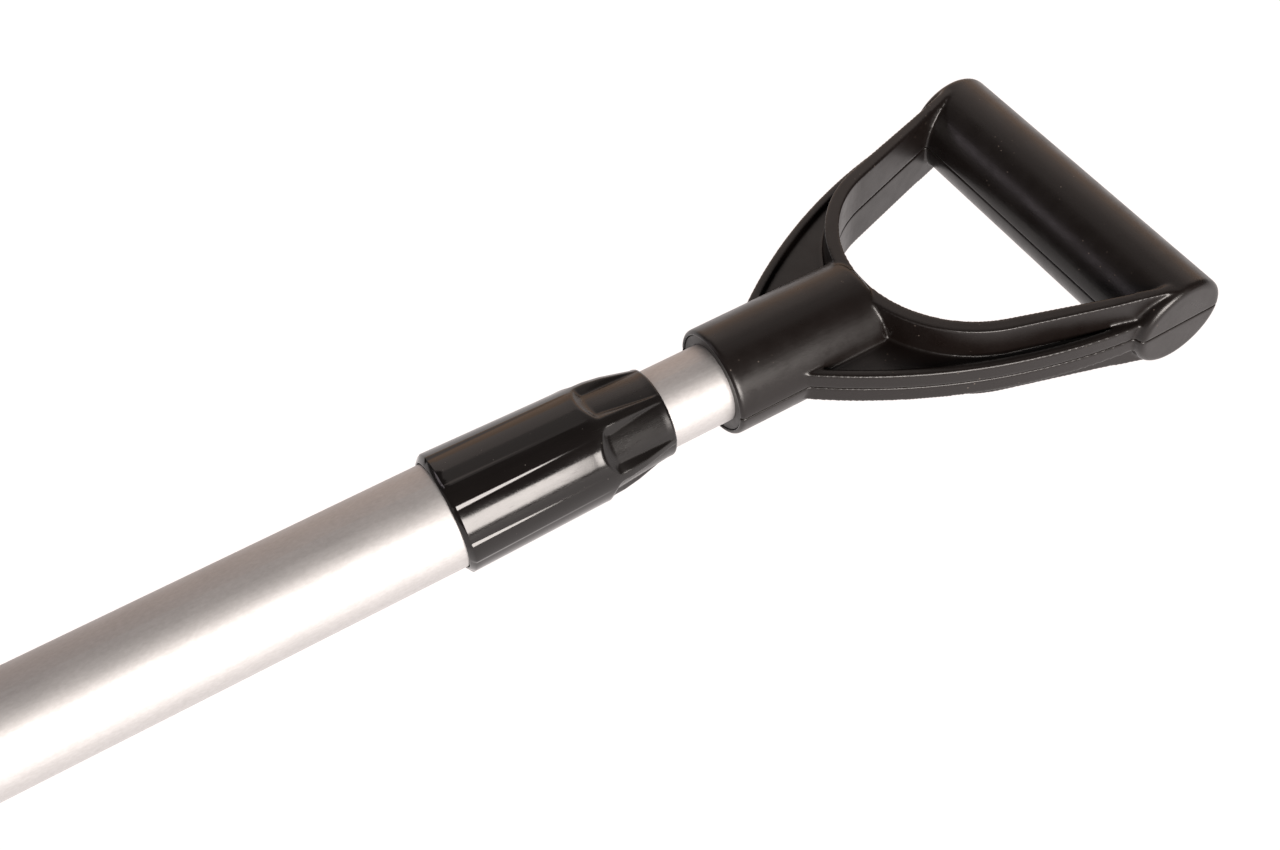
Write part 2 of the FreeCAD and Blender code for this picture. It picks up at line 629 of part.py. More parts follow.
def beads(radius):
    """Round bars under the floor that press up stiffening beads.

    Each bar is straight and the floor curves up, so a bead runs out at both its ends.
    """
    bend_centre = Vector(HEEL_END, 0, GROUND + BLADE_BEND_R)
    ring = BLADE_BEND_R + BEAD_SINK
    along = Vector(-math.cos(BEAD_ANGLE), 0, math.sin(BEAD_ANGLE))
    bars = []
    for y in BEAD_Y:
        middle = bend_centre + Vector(-ring * math.sin(BEAD_ANGLE), y, -ring * math.cos(BEAD_ANGLE))
        start = middle - along * (BEAD_BAR / 2)
        bars.append(Part.makeCylinder(radius, BEAD_BAR, start, along))
    return bars


def front_trim():
    """What is left of the sheet at the front: a bulging edge with rounded corners."""
    low = GROUND - BEYOND
    corner_x = BLADE_TIP + FRONT_BULGE
    wide = half_width(corner_x) + FRONT_MARGIN
    right, left = plan(corner_x, -wide, low), plan(corner_x, wide, low)
    edges = [arc(right, plan(BLADE_TIP, 0, low), left)]
    edges += chain([left, plan(0, wide, low), plan(0, -wide, low), right])
    trim = solid_of(edges, Vector(0, 0, REACH))
    corners = [e for e in trim.Edges
               if e.BoundBox.ZLength > REACH / 2 and e.CenterOfMass.x < WIDEST_X]
    return trim.makeFillet(FRONT_CORNER_R, corners)


def above_walls():
    """The room over the top edge: high at the rear wall, down to the floor at the tip."""
    tip_x = BLADE_TIP - BEYOND
    tip = Vector(tip_x, -REACH, GROUND + floor_height(tip_x) + TIP_HEIGHT)
    middle = Vector(MIDDLE_X, -REACH, GROUND + MIDDLE_HEIGHT)
    rear = Vector(BLADE_REAR + REAR_EDGE, -REACH, GROUND + REAR_HEIGHT)
    edges = [arc(tip, middle, rear)]
    edges += chain([rear, Vector(rear.x, -REACH, REACH), Vector(tip.x, -REACH, REACH), tip])
    return solid_of(edges, Vector(0, 2 * REACH, 0))


def saddle_arch():
    """Arched opening in the rear wall for the saddle."""
    gap = OUTER_R + SADDLE_WALL + ARCH_GAP
    notch = BLADE_REAR - FLOOR_FILLET + ARCH_OVERLAP
    return rod(gap, notch, 0).fuse(block(notch, 0, -gap, gap, GROUND - BEYOND, 0))


def blade():
    outside = tub(0).cut(beads(BEAD_R))
    inside = tub(SHEET).cut(beads(BEAD_R + SHEET))
    sheet = outside.cut(inside).common(front_trim()).cut(above_walls()).cut(saddle_arch())
    for x, y in rivet_spots():
        sheet = sheet.cut(post(RIVET_R + PRESS, x, y, GROUND - BEYOND, floor_top() + BEYOND))
    return sheet.removeSplitter()


def rivet_spots():
    return [(x, sign * RIVET_Y) for x in RIVET_X for sign in (-1, 1)]


def floor_top():
    return GROUND + SHEET


def blade_rivets():
    rivets = []
    top = floor_top() + SADDLE_WALL
    dome_r = (RIVET_HEAD_R ** 2 + RIVET_HEAD ** 2) / (2 * RIVET_HEAD)
    for x, y in rivet_spots():
        dome = Part.makeSphere(dome_r, Vector(x, y, top + RIVET_HEAD - dome_r))
        dome = dome.common(post(RIVET_HEAD_R, x, y, top, top + RIVET_HEAD + BEYOND))
        rivets.append(dome.fuse(post(RIVET_R, x, y, GROUND + PRESS, top)).removeSplitter())
    return Part.makeCompound(rivets)


def blade_saddle():
    """Omega-shaped saddle over the tube, riveted to the blade's floor."""
    inner = SADDLE_BORE
    outer = SADDLE_BORE + SADDLE_WALL
    foot = floor_top()
    knee = foot + SADDLE_WALL

    def at(y, z):
        return Vector(SADDLE_BOTTOM, y, z)
    edges = chain([at(-outer, 0), at(-outer, knee), at(-SADDLE_FLANGE, knee),
                   at(-SADDLE_FLANGE, foot), at(-inner, foot), at(-inner, 0)])
    edges.append(arc(at(-inner, 0), at(0, inner), at(inner, 0)))
    edges += chain([at(inner, 0), at(inner, foot), at(SADDLE_FLANGE, foot),
                    at(SADDLE_FLANGE, knee), at(outer, knee), at(outer, 0)])
    edges.append(arc(at(outer, 0), at(0, outer), at(-outer, 0)))
    saddle = solid_of(edges, Vector(SADDLE_TOP - SADDLE_BOTTOM, 0, 0))
    flange_top = BLADE_REAR - FLOOR_FILLET - BEYOND
    beside = block(flange_top, SADDLE_TOP + BEYOND, outer, REACH, GROUND, 0)
    saddle = saddle.cut(beside).cut(beside.mirror(Vector(), Y_AXIS))
    corners = [e for e in saddle.Edges
               if abs(abs(e.CenterOfMass.y) - SADDLE_FLANGE) < 0.01 and e.BoundBox.ZLength > 1]
    saddle = saddle.makeFillet(SADDLE_CORNER_R, corners)
    for x, y in rivet_spots():
        saddle = saddle.cut(post(RIVET_R + PRESS, x, y, GROUND, 0))
    return saddle.cut(post(BUTTON_HOLE_R, BUTTON_X, 0, 0, outer + BEYOND)).removeSplitter()


# ---------------------------------------------------------------- snap button
def snap_button():
    stem = post(BUTTON_R, BUTTON_X, 0, BUTTON_FLANGE_TOP - CLEAR, BUTTON_TOP)
    rim = [e for e in stem.Edges
           if isinstance(e.Curve, Part.Circle) and e.CenterOfMass.z > BUTTON_TOP - CLEAR]
    stem = stem.makeFillet(BUTTON_ROUND, rim)
    flange = post(BUTTON_FLANGE_R, BUTTON_X, 0, BUTTON_FLANGE_TOP - BUTTON_FLANGE,
                  BUTTON_FLANGE_TOP)
    return stem.fuse(flange).removeSplitter()


def button_spring():
    """Leaf spring bent to a U, between the button's flange and the far wall of the tube."""
    upper = BUTTON_FLANGE_TOP - BUTTON_FLANGE - CLEAR
    lower = -(OUTER_BORE - SPRING_LIFT)
    bend_x = BUTTON_X + SPRING_BEND
    end_x = BUTTON_X - SPRING_END
    radius = (upper - lower) / 2
    middle = (upper + lower) / 2

    def at(x, z):
        return Vector(x, -SPRING_HALF_WIDTH, z)
    inner = radius - SPRING_STRIP
    edges = [arc(at(bend_x, upper), at(bend_x + radius, middle), at(bend_x, lower))]
    edges.append(arc(at(bend_x, upper - SPRING_STRIP), at(bend_x + inner, middle),
                     at(bend_x, lower + SPRING_STRIP)))
    edges += chain([at(bend_x, upper), at(end_x, upper), at(end_x, upper - SPRING_STRIP),
                    at(bend_x, upper - SPRING_STRIP)])
    edges += chain([at(bend_x, lower), at(end_x, lower), at(end_x, lower + SPRING_STRIP),
                    at(bend_x, lower + SPRING_STRIP)])
    return solid_of(edges, Vector(0, 2 * SPRING_HALF_WIDTH, 0))


# ---------------------------------------------------------------- export
def pieces():
    top_shell, bottom_shell = handle_shells()
    return {
        "handle_top_shell": top_shell,
        "handle_bottom_shell": bottom_shell,
        "handle_shell_screws": Part.makeCompound([shell_screw(x, y) for x, y in SCREW_SPOTS]),
        "handle_adapter_bush": adapter_bush(),
        "handle_fixing_screw": fixing_screw(),
        "inner_tube": inner_tube(),
        "inner_tube_plug": inner_tube_plug(),
        "guide_bush": guide_bush(),
        "guide_stop_ring": stop_ring(),
        "outer_tube": outer_tube(),
        "outer_tube_plug": outer_tube_plug(),
        "clamp_sleeve": clamp_sleeve(),
        "clamp_sleeve_pins": clamp_sleeve_pins(),
        "clamp_ring": clamp_ring(),
        "lock_collar": lock_collar(),
        "blade": blade(),
        "blade_saddle": blade_saddle(),
        "blade_rivets": blade_rivets(),
        "snap_button": snap_button(),
        "button_spring": button_spring(),
    }


def main():
    os.makedirs("parts", exist_ok=True)
    for node, shape in pieces().items():
        shape.translate(Vector(-CENTRE_X, 0, SHAFT_HEIGHT))
        shape.exportStep("parts/" + node + ".step")
        box = shape.optimalBoundingBox(True, False)
        print(node, len(shape.Solids), shape.isValid(), round(shape.Volume),
              [round(v, 2) for v in (box.XMin, box.XMax, box.YMin, box.YMax, box.ZMin, box.ZMax)])


main()
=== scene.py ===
import math

import bmesh
import bpy
import numpy as np
from mathutils import Matrix, Vector


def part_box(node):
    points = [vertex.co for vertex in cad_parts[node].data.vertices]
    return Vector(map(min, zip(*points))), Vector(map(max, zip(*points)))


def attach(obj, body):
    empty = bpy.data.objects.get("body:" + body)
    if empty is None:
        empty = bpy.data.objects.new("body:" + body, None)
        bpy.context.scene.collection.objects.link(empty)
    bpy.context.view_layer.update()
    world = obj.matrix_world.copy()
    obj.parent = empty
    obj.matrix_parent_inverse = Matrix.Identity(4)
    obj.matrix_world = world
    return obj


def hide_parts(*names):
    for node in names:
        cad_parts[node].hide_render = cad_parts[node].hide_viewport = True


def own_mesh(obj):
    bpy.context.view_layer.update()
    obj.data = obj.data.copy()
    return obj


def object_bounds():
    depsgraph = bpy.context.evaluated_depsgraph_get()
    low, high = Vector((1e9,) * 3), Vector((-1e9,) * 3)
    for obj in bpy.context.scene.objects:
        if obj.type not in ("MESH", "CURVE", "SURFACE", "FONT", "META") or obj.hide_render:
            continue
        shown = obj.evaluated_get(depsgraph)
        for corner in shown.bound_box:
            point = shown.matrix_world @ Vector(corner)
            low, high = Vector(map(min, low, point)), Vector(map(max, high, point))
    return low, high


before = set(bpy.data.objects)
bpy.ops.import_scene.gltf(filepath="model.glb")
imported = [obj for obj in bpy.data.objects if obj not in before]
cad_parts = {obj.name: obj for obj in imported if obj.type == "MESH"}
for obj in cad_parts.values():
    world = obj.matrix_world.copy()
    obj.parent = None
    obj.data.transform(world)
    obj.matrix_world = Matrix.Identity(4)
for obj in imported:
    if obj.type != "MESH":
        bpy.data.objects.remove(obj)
CAD_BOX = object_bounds()

# A telescopic camp shovel: camera, light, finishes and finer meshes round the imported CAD.
# X runs along the shaft towards the grip and Z is up. Lengths are in metres unless a comment says mm.

MM = 0.001

# ---------------------------------------------------------------- places taken from the frame

TUBE_LOW, TUBE_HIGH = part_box("outer_tube")
SHAFT_Z = (TUBE_LOW.z + TUBE_HIGH.z) / 2
SOCKET_MOUTH_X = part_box("handle_top_shell")[0].x

# ---------------------------------------------------------------- small helpers


def grey(level):
    return (level, level, level, 1.0)


def direction(bearing, height):
    """A unit vector from two angles in degrees; bearing 0 is on the -Y side and 90 on the +X side."""
    turn, lift = math.radians(bearing), math.radians(height)
    return Vector((math.sin(turn) * math.cos(lift), -math.cos(turn) * math.cos(lift), math.sin(lift)))


def placed(name, data):
    """A new object in the scene."""
    item = bpy.data.objects.new(name, data)
    bpy.context.scene.collection.objects.link(item)
    return item


# ---------------------------------------------------------------- camera

VIEW_BEARING = -27.82
VIEW_HEIGHT = 51.86
VIEW_ROLL = -3.77
VIEW_DISTANCE = 448.9 * MM
VIEW_LENS = 43.0             # mm, as is the sensor's width
SENSOR_WIDTH = 36.0
CLIP_START = 0.01
AIM = Vector((SOCKET_MOUTH_X - 25.92 * MM, -2.16 * MM, SHAFT_Z))


def viewing_camera():
    """The camera, looking down at the twist collar and the handle from the near side."""
    back = direction(VIEW_BEARING, VIEW_HEIGHT)
    camera = placed("camera", bpy.data.cameras.new("camera"))
    camera.data.lens = VIEW_LENS
    camera.data.sensor_width = SENSOR_WIDTH
    camera.data.clip_start = CLIP_START
    level = (-back).to_track_quat("-Z", "Y").to_matrix()
    rolled = level @ Matrix.Rotation(math.radians(VIEW_ROLL), 3, "Z")
    camera.matrix_world = Matrix.Translation(AIM + back * VIEW_DISTANCE) @ rolled.to_4x4()
    bpy.context.scene.camera = camera


# ---------------------------------------------------------------- light and floor

SURROUND_TINT = (1.0, 0.93, 0.90, 1.0)
SURROUND_STRENGTH = 0.12
FLOOR_RADIUS = 4.0
FLOOR_CORNERS = 96
FLOOR_GAP = 0.02 * MM
FLOOR_GLOW = (1.0, 0.935, 0.92, 1.0)
FLOOR_GLOW_STRENGTH = 1.09


def softbox(name, bearing, height, distance, size, watts, colour):
    """A rectangular lamp aimed at the collar, at a bearing, height and distance from it."""
    lamp = bpy.data.lights.new(name, "AREA")
    lamp.shape = "RECTANGLE"
    lamp.size, lamp.size_y = size
    lamp.energy = watts
    lamp.color = colour
    away = direction(bearing, height)
    box = placed(name, lamp)
    box.location = AIM + away * distance
    box.rotation_mode = "QUATERNION"
    box.rotation_quaternion = (-away).to_track_quat("-Z", "Y")


def studio():
    """Soft light: a bright box in front, two walls and a warm card behind, a weak box at the left."""
    softbox("front_box", bearing=-5.0, height=19.5, distance=1.1, size=(0.80, 0.54), watts=30.0,
            colour=(1.0, 0.93, 0.88))
    softbox("back_wall", bearing=150.0, height=36.5, distance=1.6, size=(2.7, 0.80), watts=6.6,
            colour=(1.0, 0.86, 0.80))
    softbox("high_wall", bearing=138.0, height=63.0, distance=1.6, size=(1.2, 0.60), watts=1.1,
            colour=(1.0, 0.90, 0.86))
    softbox("warm_card", bearing=146.0, height=12.0, distance=1.6, size=(2.9, 0.62), watts=6.0,
            colour=(1.0, 0.66, 0.46))
    softbox("left_box", bearing=233.0, height=26.0, distance=1.6, size=(0.55, 0.40), watts=1.6,
            colour=(1.0, 0.88, 0.95))


def surround():
    """A dim, warm light from everywhere."""
    world = bpy.data.worlds.new("surround")
    world.use_nodes = True
    background = world.node_tree.nodes["Background"]
    background.inputs["Color"].default_value = SURROUND_TINT
    background.inputs["Strength"].default_value = SURROUND_STRENGTH
    bpy.context.scene.world = world
    bpy.context.scene.view_settings.view_transform = "Standard"


def floor():
    """A plain pale floor just under the lowest point of the object."""
    plate = bmesh.new()
    bmesh.ops.create_circle(plate, cap_ends=True, segments=FLOOR_CORNERS, radius=FLOOR_RADIUS)
    mesh = bpy.data.meshes.new("floor")
    plate.to_mesh(mesh)
    plate.free()
    ground = placed("floor", mesh)
    ground.location.z = CAD_BOX[0].z - FLOOR_GAP
    paint = bpy.data.materials.new("floor_paint")
    paint.use_nodes = True
    shader = paint.node_tree.nodes["Principled BSDF"]
    shader.inputs["Base Color"].default_value = grey(0.02)
    shader.inputs["Roughness"].default_value = 0.85
    shader.inputs["Emission Color"].default_value = FLOOR_GLOW
    shader.inputs["Emission Strength"].default_value = FLOOR_GLOW_STRENGTH
    mesh.materials.append(paint)


# ---------------------------------------------------------------- material recipes

class Recipe:
    """One Principled material. Each method adds a node and returns the socket that the next one takes."""

    def __init__(self, name, **fixed):
        self.material = bpy.data.materials.new(name)
        self.material.use_nodes = True
        self.tree = self.material.node_tree
        self.shader = self.tree.nodes["Principled BSDF"]
        for socket, value in fixed.items():
            self.shader.inputs[socket.replace("_", " ")].default_value = value

    def put(self, socket, value):
        """Links a socket to another, or sets it to a number, vector or colour."""
        if isinstance(value, bpy.types.NodeSocket):
            self.tree.links.new(value, socket)
        else:
            socket.default_value = value

    def add(self, kind, inputs=None, **settings):
        node = self.tree.nodes.new(kind)
        for key, value in settings.items():
            setattr(node, key, value)
        for key, value in (inputs or {}).items():
            self.put(node.inputs[key], value)
        return node

    def place(self, stretch=(1.0, 1.0, 1.0)):
        """Object coordinates in metres, each multiplied by its stretch."""
        where = self.add("ShaderNodeTexCoord").outputs["Object"]
        return self.add("ShaderNodeMapping", {"Vector": where, "Scale": stretch}).outputs["Vector"]

    def noise(self, where, scale, detail, roughness):
        made = self.add("ShaderNodeTexNoise", {"Vector": where, "Scale": scale, "Detail": detail,
                                               "Roughness": roughness})
        return made.outputs["Fac"]

    def spots(self, where, scale):
        """Distance to the nearest of the scattered points."""
        return self.add("ShaderNodeTexVoronoi", {"Vector": where, "Scale": scale}).outputs["Distance"]

    def spread(self, value, low, high, to_low=0.0, to_high=1.0):
        """The range from low to high, stretched to the range from to_low to to_high and held at its ends."""
        made = self.add("ShaderNodeMapRange", {"Value": value, "From Min": low, "From Max": high,
                                               "To Min": to_low, "To Max": to_high})
        return made.outputs["Result"]

    def calculate(self, operation, a, b):
        return self.add("ShaderNodeMath", {0: a, 1: b}, operation=operation).outputs["Value"]

    def plus(self, a, b):
        return self.calculate("ADD", a, b)

    def minus(self, a, b):
        return self.calculate("SUBTRACT", a, b)

    def times(self, a, b):
        return self.calculate("MULTIPLY", a, b)

    def mix(self, share, a, b):
        """Colour a with a share of colour b."""
        made = self.add("ShaderNodeMix", data_type="RGBA")
        for name, value in (("Factor", share), ("A", a), ("B", b)):
            self.put([s for s in made.inputs if s.name == name and s.enabled][0], value)
        return [s for s in made.outputs if s.enabled][0]

    def edges(self, radius):
        """1 on worn edges, 0 on broad faces: how far a rounded normal leans from the true one."""
        rounded = self.add("ShaderNodeBevel", {"Radius": radius}, samples=4).outputs["Normal"]
        true = self.add("ShaderNodeNewGeometry").outputs["Normal"]
        made = self.add("ShaderNodeVectorMath", {0: rounded, 1: true}, operation="DOT_PRODUCT")
        return self.spread(made.outputs["Value"], 0.98, 0.75)

    def bump(self, height, distance, strength, under=None):
        made = self.add("ShaderNodeBump", {"Height": height, "Distance": distance, "Strength": strength})
        if under is not None:
            self.tree.links.new(under, made.inputs["Normal"])
        return made.outputs["Normal"]

    def finish(self, **sockets):
        for socket, value in sockets.items():
            self.tree.links.new(value, self.shader.inputs[socket.replace("_", " ")])
        return self.material


def satin_plastic(name, base, worn, shine):
    """Moulded black plastic with a fine spark-eroded grain, faint cloudiness, dust specks and worn edges."""
    made = Recipe(name, IOR=1.42)
    where = made.place()
    cloud = made.noise(where, scale=45.0, detail=4.0, roughness=0.6)
    grain = made.noise(where, scale=2600.0, detail=2.0, roughness=0.6)
    specks = made.spread(made.spots(where, scale=420.0), 0.12, 0.05)
    rare = made.spread(made.noise(where, scale=70.0, detail=2.0, roughness=0.5), 0.54, 0.62)
    dust = made.times(specks, rare)
    cloudy = tuple(1.35 * c for c in base[:3]) + (1.0,)
    tone = made.mix(cloud, base, cloudy)
    tone = made.mix(made.times(made.edges(0.6 * MM), 0.30), tone, worn)
    tone = made.mix(made.times(dust, 0.6), tone, (0.16, 0.13, 0.11, 1.0))
    patches = made.noise(where, scale=130.0, detail=5.0, roughness=0.65)
    rough = made.spread(patches, 0.3, 0.7, shine - 0.05, shine + 0.07)
    rough = made.plus(rough, made.times(dust, 0.25))
    waves = made.noise(where, scale=160.0, detail=2.0, roughness=0.5)
    relief = made.bump(grain, 0.016 * MM, 0.8)
    relief = made.bump(waves, 0.02 * MM, 0.5, relief)
    return made.finish(Base_Color=tone, Roughness=rough, Normal=relief)


def gloss_plastic(name):
    """Polished black plastic with faint wipe marks, hairline scratches, a few specks and duller scoops."""
    made = Recipe(name, IOR=1.46)
    where = made.place()
    wipes = made.noise(made.place((1.0, 6.0, 6.0)), scale=60.0, detail=4.0, roughness=0.6)
    scratch_field = made.noise(made.place((1.0, 12.0, 12.0)), scale=420.0, detail=1.0, roughness=0.4)
    scratches = made.spread(scratch_field, 0.70, 0.74)
    specks = made.spread(made.spots(where, scale=330.0), 0.07, 0.03)
    tone = made.mix(wipes, (0.0030, 0.0022, 0.0020, 1.0), (0.0050, 0.0040, 0.0037, 1.0))
    tone = made.mix(made.times(specks, 0.4), tone, (0.12, 0.11, 0.10, 1.0))
    along = made.add("ShaderNodeSeparateXYZ", {0: where}).outputs["X"]
    scoops = made.spread(along, SOCKET_MOUTH_X - 45 * MM, SOCKET_MOUTH_X - 41 * MM, 0.0, 0.13)
    rough = made.plus(made.spread(wipes, 0.3, 0.7, 0.10, 0.19), scoops)
    rough = made.plus(rough, made.times(scratches, 0.10))
    waves = made.noise(where, scale=95.0, detail=2.0, roughness=0.5)
    grain = made.noise(where, scale=1500.0, detail=2.0, roughness=0.5)
    relief = made.bump(waves, 0.025 * MM, 0.6)
    relief = made.bump(grain, 0.002 * MM, 0.5, relief)
    return made.finish(Base_Color=tone, Roughness=rough, Normal=relief)


def anodised_tube(name):
    """Satin anodised aluminium tube: lengthwise drawing lines, a soft mottle and a fine blasted grain."""
    made = Recipe(name, Metallic=1.0)
    lines = made.noise(made.place((1.0, 40.0, 40.0)), scale=30.0, detail=4.0, roughness=0.7)
    fine = made.noise(made.place((1.0, 6.0, 6.0)), scale=900.0, detail=3.0, roughness=0.6)
    mottle = made.noise(made.place(), scale=60.0, detail=4.0, roughness=0.55)
    blast = made.noise(made.place((0.5, 1.0, 1.0)), scale=1300.0, detail=3.0, roughness=0.65)
    tone = made.mix(lines, (0.44, 0.432, 0.43, 1.0), (0.50, 0.492, 0.49, 1.0))
    tone = made.mix(made.spread(mottle, 0.35, 0.65, 0.0, 0.35), tone, (0.47, 0.455, 0.45, 1.0))
    tone = made.mix(made.spread(blast, 0.30, 0.70, 0.0, 0.5), tone, (0.58, 0.575, 0.575, 1.0))
    rough = made.spread(made.plus(lines, mottle), 0.7, 1.3, 0.60, 0.68)
    relief = made.bump(lines, 0.006 * MM, 0.6)
    relief = made.bump(fine, 0.004 * MM, 0.6, relief)
    relief = made.bump(blast, 0.020 * MM, 0.7, relief)
    return made.finish(Base_Color=tone, Roughness=rough, Normal=relief)


def rolled_sheet(name):
    """Aluminium sheet for the blade: rolling lines, digging scratches and bright worn edges."""
    made = Recipe(name, Metallic=1.0)
    lines = made.noise(made.place((1.0, 24.0, 24.0)), scale=40.0, detail=4.0, roughness=0.7)
    digs = made.noise(made.place((1.0, 18.0, 18.0)), scale=90.0, detail=2.0, roughness=0.5)
    mottle = made.noise(made.place(), scale=18.0, detail=5.0, roughness=0.6)
    scratches = made.spread(digs, 0.64, 0.70)
    tone = made.mix(mottle, (0.37, 0.365, 0.36, 1.0), (0.47, 0.465, 0.46, 1.0))
    tone = made.mix(made.times(scratches, 0.5), tone, grey(0.60))
    tone = made.mix(made.times(made.edges(0.8 * MM), 0.6), tone, grey(0.65))
    rough = made.spread(made.plus(lines, mottle), 0.7, 1.3, 0.36, 0.50)
    rough = made.minus(rough, made.times(scratches, 0.1))
    relief = made.bump(lines, 0.008 * MM, 0.6)
    relief = made.bump(scratches, 0.012 * MM, 0.5, relief)
    return made.finish(Base_Color=tone, Roughness=rough, Normal=relief)


def pressed_metal(name, low, high, shine):
    """Small pressed or turned metal: fine scratches, a soft mottle from low to high and bright edges."""
    made = Recipe(name, Metallic=1.0)
    mottle = made.noise(made.place(), scale=240.0, detail=4.0, roughness=0.6)
    fine = made.noise(made.place((1.0, 5.0, 1.0)), scale=1500.0, detail=3.0, roughness=0.6)
    tone = made.mix(mottle, low, high)
    tone = made.mix(made.times(made.edges(0.3 * MM), 0.5), tone, grey(0.9))
    rough = made.spread(mottle, 0.3, 0.7, shine - 0.07, shine + 0.08)
    return made.finish(Base_Color=tone, Roughness=rough, Normal=made.bump(fine, 0.004 * MM, 0.6))


def nylon(name, low, high):
    """Unpolished nylon with a faint flow mottle from low to high and a fine grain."""
    made = Recipe(name, IOR=1.53)
    flow = made.noise(made.place((1.0, 3.0, 3.0)), scale=90.0, detail=4.0, roughness=0.6)
    grain = made.noise(made.place(), scale=2200.0, detail=2.0, roughness=0.5)
    tone = made.mix(flow, low, high)
    rough = made.spread(flow, 0.3, 0.7, 0.42, 0.56)
    return made.finish(Base_Color=tone, Roughness=rough, Normal=made.bump(grain, 0.008 * MM, 0.6))


# ---------------------------------------------------------------- meshes

def welded_copy(node, name):
    """A new object with a CAD node's mesh, its split corners welded together."""
    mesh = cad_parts[node].data.copy()
    mesh.name = name
    shell = bmesh.new()
    shell.from_mesh(mesh)
    bmesh.ops.remove_doubles(shell, verts=shell.verts, dist=0.002 * MM)
    shell.to_mesh(mesh)
    shell.free()
    return placed(name, mesh)


def baked(piece):
    """Replaces a piece's mesh with what its modifiers make of it."""
    evaluated = piece.evaluated_get(bpy.context.evaluated_depsgraph_get())
    mesh = bpy.data.meshes.new_from_object(evaluated)
    piece.modifiers.clear()
    piece.data = mesh
    mesh.name = piece.name


def moulded(node, name, voxel, passes, keep):
    """A CAD node's shape with the small rounded edges and corners of a moulding, as one smooth piece."""
    piece = welded_copy(node, name)
    remesh = piece.modifiers.new("remesh", "REMESH")
    remesh.mode = "VOXEL"
    remesh.voxel_size = voxel
    smooth = piece.modifiers.new("smooth", "SMOOTH")
    smooth.factor = 0.5
    smooth.iterations = passes
    thin = piece.modifiers.new("thin", "DECIMATE")
    thin.ratio = keep
    baked(piece)
    for face in piece.data.polygons:
        face.use_smooth = True
    return piece


def smoothed(field, axis, passes, wraps):
    """A grid of heights, averaged with its neighbours along one axis, which may close on itself."""
    for _ in range(passes):
        before, after = np.roll(field, 1, axis), np.roll(field, -1, axis)
        if not wraps:
            before[0], after[-1] = field[0], field[-1]
        field = (before + 2 * field + after) / 4
    return field


def ringed_mesh(name, rings):
    """A closed tube-like mesh from rings of (x, radii), the last ring joined back to the first."""
    count = len(rings[0][1])
    turn = np.arange(count) * 2 * math.pi / count
    points = [
        (x, -r * math.cos(a), SHAFT_Z + r * math.sin(a))
        for x, radii in rings for r, a in zip(radii, turn)
    ]
    faces = []
    for ring in range(len(rings)):
        here, there = ring * count, (ring + 1) % len(rings) * count
        for step in range(count):
            beside = (step + 1) % count
            faces.append((here + step, here + beside, there + beside, there + step))
    mesh = bpy.data.meshes.new(name)
    mesh.from_pydata(points, [], faces)
    shell = bmesh.new()
    shell.from_mesh(mesh)
    bmesh.ops.recalc_face_normals(shell, faces=shell.faces)
    shell.to_mesh(mesh)
    shell.free()
    mesh.shade_smooth()
    return placed(name, mesh)


def dress(piece, material):
    piece.data.materials.clear()
    piece.data.materials.append(material)


# ---------------------------------------------------------------- twist collar
# Lengths here are in mm, with x from the handle socket's mouth, and angles are in degrees from -Y
# towards +Z. Each profile lists (x, value) from the lower rim to the nose.

PADS = 6
PAD_FIRST = 36.5             # the first pad's middle
RIB_START = 20.5             # from a pad's middle to the flat top of the rib beside it
RIB_SLOPE = math.tan(math.radians(19.0))
SCOOP_EDGE = 25.3            # from a scoop's middle to its rim
SCOOP_WALL = 0.6             # from the edge of a scoop's floor to its rim at the nose
COLLAR_STEPS = 480           # points round the collar
RIM_X = -89.6
BODY_START = -88.1
BODY_END = -47.0
BODY_RINGS = 24
SCOOPS_START = -46.75
SCOOPS_END = -20.7
SCOOP_STEP = 0.25
NOSE_X = -20.9
NOSE_ROUND = 0.9

RIB_RADIUS = ((-88.3, 18.62), (-43.0, 17.62), (-37.0, 17.40), (-31.6, 16.60), (NOSE_X, 14.00))
PAD_DEPTH = ((-88.3, 0.42), (-46.0, 0.10), (-43.0, 0.0))
SCOOP_FLOOR = ((-40.0, 15.5), (-22.5, 13.95))
SCOOP_FLOOR_EDGE = ((-39.0, 17.0), (-23.0, SCOOP_EDGE - SCOOP_WALL))
RIM_CHAMFER = ((RIM_X, 16.75), (-89.45, 16.95))
BORE = (
    (-20.0, 12.95), (-20.15, 12.85), (-43.5, 12.85), (-43.5, 13.4), (-50.0, 14.6),
    (-51.0, 15.88), (-66.5, 15.88), (-66.5, 16.35), (-89.2, 16.35), (RIM_X, 16.6),
)                            # from the nose back to the rim


def along(profile, x):
    """A profile's value at x, straight between its points."""
    return np.interp(x, *zip(*profile))


def collar_field(x, turn):
    """Outer radii of the collar over a grid of x and of angle, before smoothing."""
    pitch = 360 / PADS
    off = np.abs((turn - PAD_FIRST + pitch / 2) % pitch - pitch / 2)
    rib = along(RIB_RADIUS, x)
    drop = along(PAD_DEPTH, x)
    bevel = np.degrees(np.maximum(drop, 0.001) / RIB_SLOPE / rib)
    outside = rib - drop * np.clip((RIB_START - off) / bevel, 0, 1)
    floor_radius = along(SCOOP_FLOOR, x)
    floor_edge = along(SCOOP_FLOOR_EDGE, x)
    side = np.clip((off - floor_edge) / (SCOOP_EDGE - floor_edge), 0, 1)
    brink = -43.9 + 0.0052 * off ** 2
    foot = -40.4 + 0.0015 * off ** 2
    end = np.clip((foot - x) / (foot - brink), 0, 1) ** 1.2
    wall = np.minimum((side ** 6 + end ** 6) ** (1 / 6), 1.0)
    return np.minimum(outside, floor_radius + wall * (outside - floor_radius))


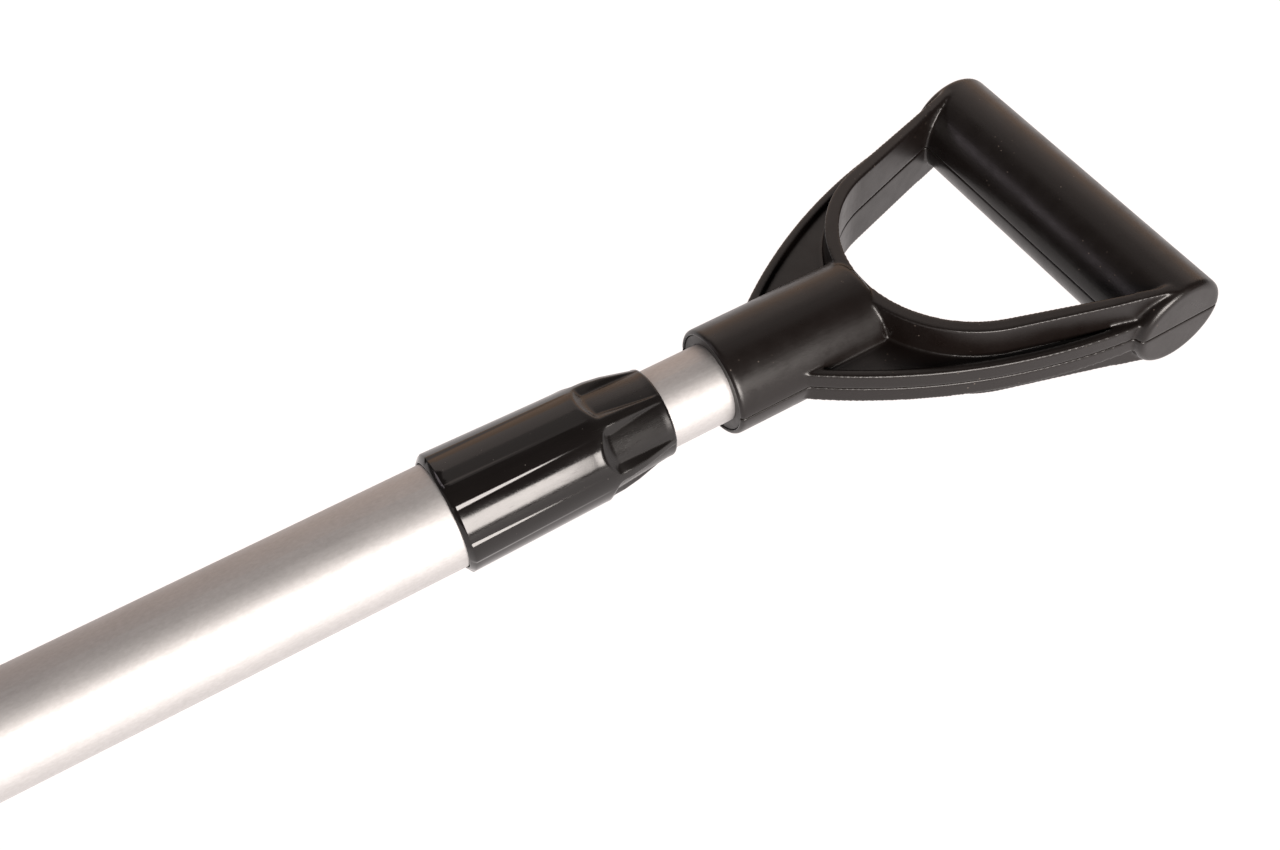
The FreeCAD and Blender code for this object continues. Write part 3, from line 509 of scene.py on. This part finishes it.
def collar():
    """The black twist collar: ribs between shallow pads, each pad ending in a finger scoop."""
    turn = np.arange(COLLAR_STEPS)[None, :] * 360.0 / COLLAR_STEPS
    body = np.linspace(BODY_START, BODY_END, BODY_RINGS)[:, None]
    scoops = np.arange(SCOOPS_START, SCOOPS_END, SCOOP_STEP)[:, None]
    stations = np.vstack([body, scoops])
    field = collar_field(stations, turn)
    field = smoothed(field, axis=1, passes=2, wraps=True)
    field[len(body):] = smoothed(field[len(body):], axis=0, passes=5, wraps=False)
    rim, nose = field[0], field[-1]
    rings = [(x, radius + 0 * rim) for x, radius in RIM_CHAMFER]
    rings.append((-88.4, rim - 0.12))
    rings += [(x, radii) for x, radii in zip(stations[:, 0], field)]
    for lean in np.radians([15, 30, 45, 60, 75, 90]):
        rings.append((NOSE_X + NOSE_ROUND * math.sin(lean), nose - NOSE_ROUND * (1 - math.cos(lean))))
    rings += [(x, radius + 0 * nose) for x, radius in BORE]
    rings = [(SOCKET_MOUTH_X + x * MM, radii * MM) for x, radii in rings]
    piece = ringed_mesh("twist_collar", rings)
    dress(piece, gloss_plastic("collar_gloss"))
    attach(piece, "collar")
    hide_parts("lock_collar")


# ---------------------------------------------------------------- handle, spring and plain finishes

HANDLE_BLACK = (0.0042, 0.0028, 0.0024, 1.0)
HANDLE_WORN = (0.026, 0.021, 0.019, 1.0)
HANDLE_SHINE = 0.32
HANDLE_HALVES = {"handle_top_shell": "handle_top_half", "handle_bottom_shell": "handle_bottom_half"}
STRIP_EDGE = 0.12 * MM


def handle():
    """Both halves of the D handle, meeting in a fine seam round the middle."""
    plastic = satin_plastic("handle_satin", HANDLE_BLACK, HANDLE_WORN, HANDLE_SHINE)
    for node, name in HANDLE_HALVES.items():
        half = moulded(node, name, voxel=0.5 * MM, passes=3, keep=0.4)
        dress(half, plastic)
        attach(half, "handle_and_shaft")
        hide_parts(node)


def leaf_spring(steel):
    """The button's U-shaped spring, with rounded strip edges; on the real shovel it closes by the button's
    travel when pressed, but here it keeps its CAD shape.
    """
    strip = welded_copy("button_spring", "leaf_spring")
    rounded = strip.modifiers.new("rounded", "BEVEL")
    rounded.width = STRIP_EDGE
    rounded.segments = 2
    baked(strip)
    dress(strip, steel)
    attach(strip, "blade_and_shaft")
    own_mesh(strip)
    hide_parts("button_spring")


def finishes(steel):
    """A detailed finish on every CAD node that shows as it is."""
    tube = anodised_tube("tube_satin")
    sheet = rolled_sheet("blade_sheet")
    rivet = pressed_metal("rivet_metal", (0.50, 0.495, 0.49, 1.0), (0.62, 0.615, 0.61, 1.0), shine=0.33)
    white = nylon("natural_nylon", (0.60, 0.58, 0.54, 1.0), (0.70, 0.68, 0.63, 1.0))
    dark = nylon("bush_black", (0.012, 0.011, 0.011, 1.0), (0.024, 0.022, 0.021, 1.0))
    wanted = {
        "outer_tube": tube,
        "inner_tube": tube,
        "guide_stop_ring": tube,
        "blade": sheet,
        "blade_saddle": sheet,
        "blade_rivets": rivet,
        "snap_button": steel,
        "handle_shell_screws": steel,
        "handle_fixing_screw": steel,
        "clamp_sleeve_pins": steel,
        "clamp_ring": white,
        "clamp_sleeve": white,
        "guide_bush": white,
        "handle_adapter_bush": dark,
        "inner_tube_plug": dark,
        "outer_tube_plug": dark,
    }
    for node, material in wanted.items():
        dress(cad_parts[node], material)


viewing_camera()
studio()
surround()
floor()
handle()
collar()
bright_steel = pressed_metal("bright_steel", (0.42, 0.42, 0.43, 1.0), (0.58, 0.58, 0.59, 1.0), shine=0.27)
finishes(bright_steel)
leaf_spring(bright_steel)
